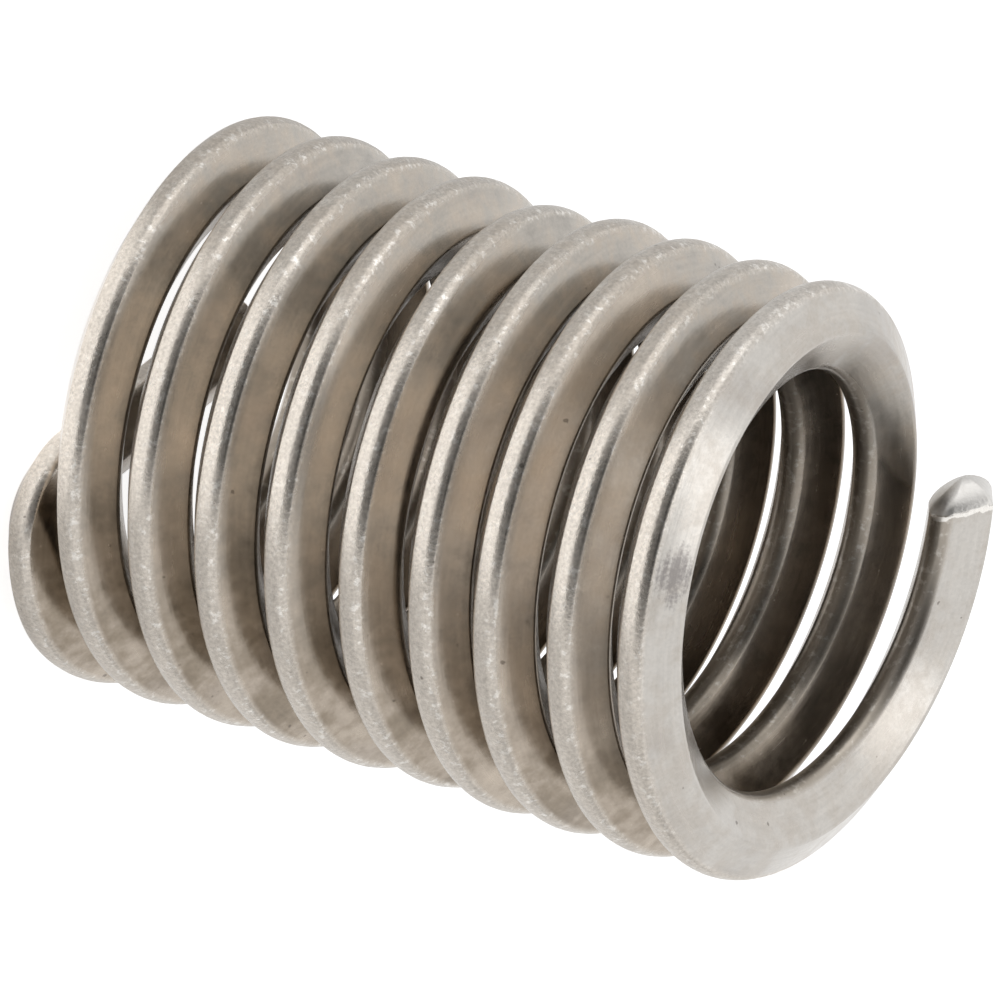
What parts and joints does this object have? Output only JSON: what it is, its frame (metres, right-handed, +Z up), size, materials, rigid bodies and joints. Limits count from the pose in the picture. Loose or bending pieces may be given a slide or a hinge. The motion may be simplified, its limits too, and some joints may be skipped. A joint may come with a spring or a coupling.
{
  "type": "helical thread insert",
  "caption": "Springy coil of diamond-section steel wire that lines a tapped hole with a new thread, with a driving tang across its lower end.",
  "frame": {"origin": "on the coil's axis, level with the underside of the tang", "axes": "+Z up the coil's axis from the tang to the free entry end; +X along the tang, from its bend to its tip; +Y to complete a right-handed frame"},
  "size_m": [0.0074, 0.0074, 0.0107],
  "materials": {
    "wire": "drawn, cold-rolled and coiled stainless wire, satin, with dull brown-grey handling stains"
  },
  "bodies": {
    "root": {"insert": "wire"}
  },
  "joints": []
}
